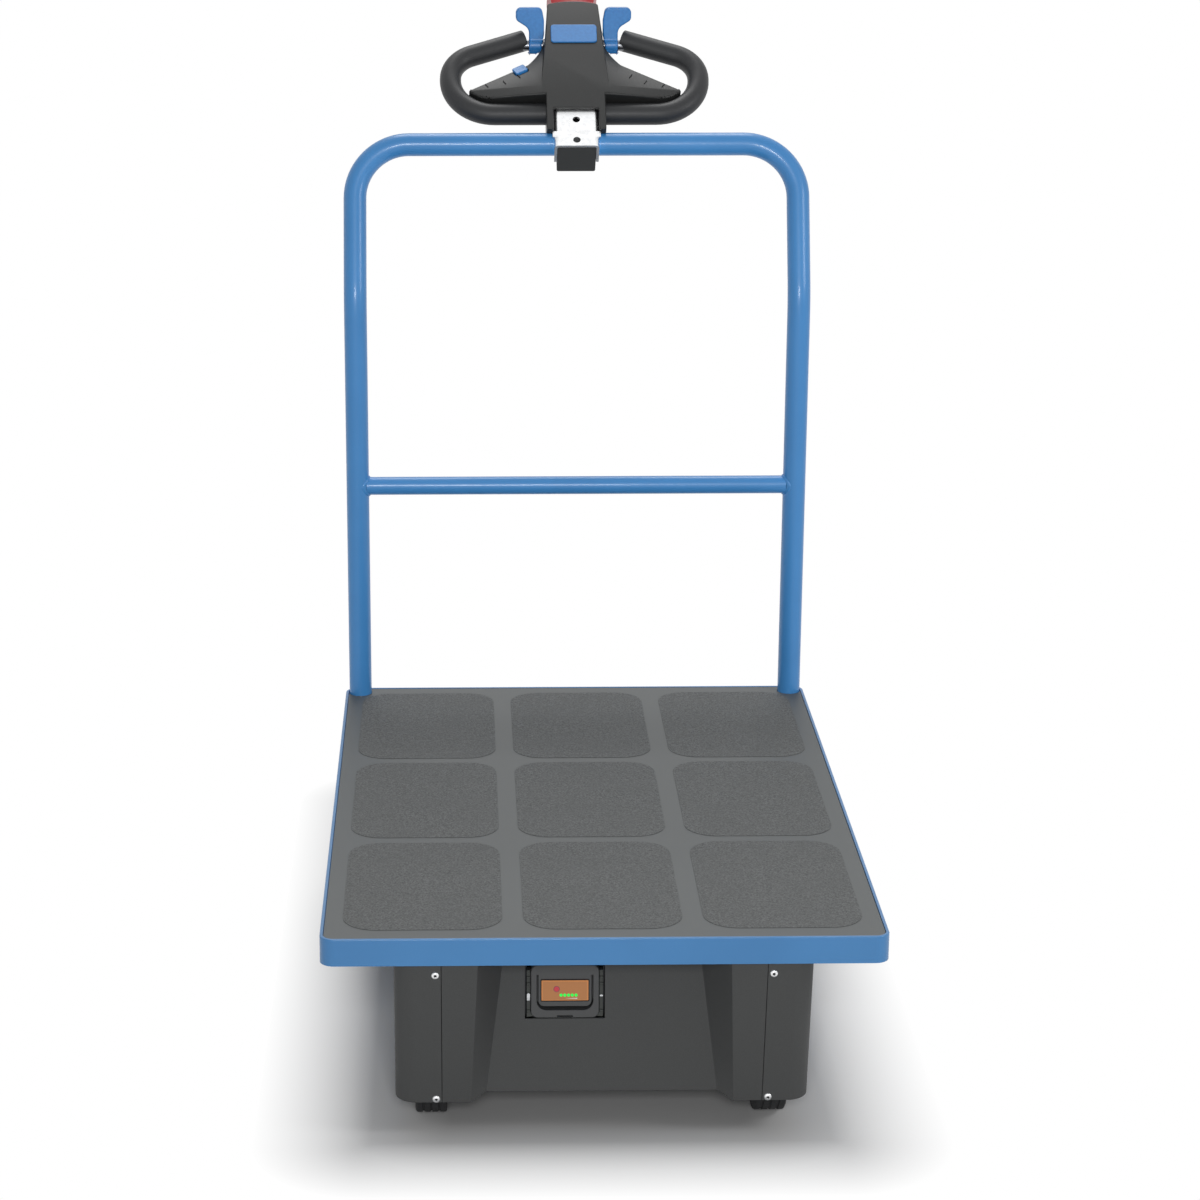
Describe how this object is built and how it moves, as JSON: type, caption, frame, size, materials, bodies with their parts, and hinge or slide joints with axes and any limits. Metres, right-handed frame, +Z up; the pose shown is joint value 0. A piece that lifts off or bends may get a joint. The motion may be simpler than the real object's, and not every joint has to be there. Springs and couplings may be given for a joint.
{
  "type": "electric platform truck",
  "caption": "Electric platform truck: flat anti-slip deck, leaning tube handle with tiller head, driven front wheels in a moulded housing, swivel castors behind.",
  "frame": {"origin": "on the floor, under the middle of the whole truck's box", "axes": "+Z up, +Y from the drive housing towards the handle and the user, +X to the right seen from the housing"},
  "size_m": [0.7, 1.2898, 1.3164],
  "materials": {
    "blue_coat": "gloss powder coat",
    "board_plastic": "matt, gritty fields",
    "frame_paint": "satin black",
    "housing_plastic": "fine moulded grain",
    "head_plastic": "satin moulded",
    "grip_rubber": "satin",
    "zinc_plate": "zinc plated",
    "block_plastic": "satin",
    "control_blue": "moulded",
    "switch_red": "moulded",
    "shaft_steel": "turned",
    "battery_plastic": "moulded",
    "display_film": "film",
    "latch_steel": "plated",
    "tyre_rubber": "solid rubber",
    "motor_aluminium": "cast",
    "castor_zinc": "zinc plated",
    "castor_rim": "moulded nylon",
    "castor_tread": "elastic",
    "pedal_red": "moulded"
  },
  "bodies": {
    "frame": {"deck_pan": "blue_coat", "deck_board": "board_plastic", "cross_members": "frame_paint", "side_rails": "frame_paint", "handle_hoop": "blue_coat", "handle_crossbar": "blue_coat", "foot_plates": "frame_paint", "tiller_bracket": "zinc_plate", "bracket_block": "block_plastic", "head_body": "head_plastic", "grip_left": "grip_rubber", "grip_right": "grip_rubber", "lever_shaft": "shaft_steel", "lever_left": "control_blue", "lever_right": "control_blue", "horn_button": "control_blue", "belly_switch": "switch_red", "speed_button": "control_blue", "drive_housing": "housing_plastic", "pod_cover_left": "housing_plastic", "pod_cover_right": "housing_plastic", "battery_tray": "frame_paint", "battery_latches": "latch_steel", "drive_fork_left": "frame_paint", "drive_fork_right": "frame_paint", "drive_axle_left": "shaft_steel", "drive_axle_right": "shaft_steel", "castor_plate_left": "castor_zinc", "castor_plate_right": "castor_zinc"},
    "drive_wheel_left": {"drive_tyre_left": "tyre_rubber", "drive_motor_left": "motor_aluminium"},
    "drive_wheel_right": {"drive_tyre_right": "tyre_rubber", "drive_motor_right": "motor_aluminium"},
    "castor_left": {"castor_fork_left": "castor_zinc", "castor_axle_left": "castor_zinc", "brake_pedal_left": "pedal_red"},
    "castor_wheel_left": {"castor_tyre_left": "castor_tread", "castor_hub_left": "castor_rim"},
    "castor_right": {"castor_fork_right": "castor_zinc", "castor_axle_right": "castor_zinc", "brake_pedal_right": "pedal_red"},
    "castor_wheel_right": {"castor_tyre_right": "castor_tread", "castor_hub_right": "castor_rim"},
    "battery": {"battery_pack": "battery_plastic", "battery_display": "display_film"}
  },
  "joints": [
    {"name": "drive_wheel_left_spin", "type": "hinge", "parent": "frame", "child": "drive_wheel_left", "pos_m": [-0.215, -0.51289, 0.0825], "axis": [1, 0, 0], "continuous": true},
    {"name": "drive_wheel_right_spin", "type": "hinge", "parent": "frame", "child": "drive_wheel_right", "pos_m": [0.215, -0.51289, 0.0825], "axis": [1, 0, 0], "continuous": true},
    {"name": "castor_left_swivel", "type": "hinge", "parent": "frame", "child": "castor_left", "pos_m": [-0.215, 0.20511, 0.178], "axis": [0, 0, 1], "continuous": true},
    {"name": "castor_left_spin", "type": "hinge", "parent": "castor_left", "child": "castor_wheel_left", "pos_m": [-0.215, 0.25011, 0.08], "axis": [1, 0, 0], "continuous": true},
    {"name": "castor_right_swivel", "type": "hinge", "parent": "frame", "child": "castor_right", "pos_m": [0.215, 0.20511, 0.178], "axis": [0, 0, 1], "continuous": true},
    {"name": "castor_right_spin", "type": "hinge", "parent": "castor_right", "child": "castor_wheel_right", "pos_m": [0.215, 0.25011, 0.08], "axis": [1, 0, 0], "continuous": true},
    {"name": "battery_slide", "type": "slide", "parent": "frame", "child": "battery", "axis": [0, -1, 0], "range_m": [0, 0.17]}
  ]
}
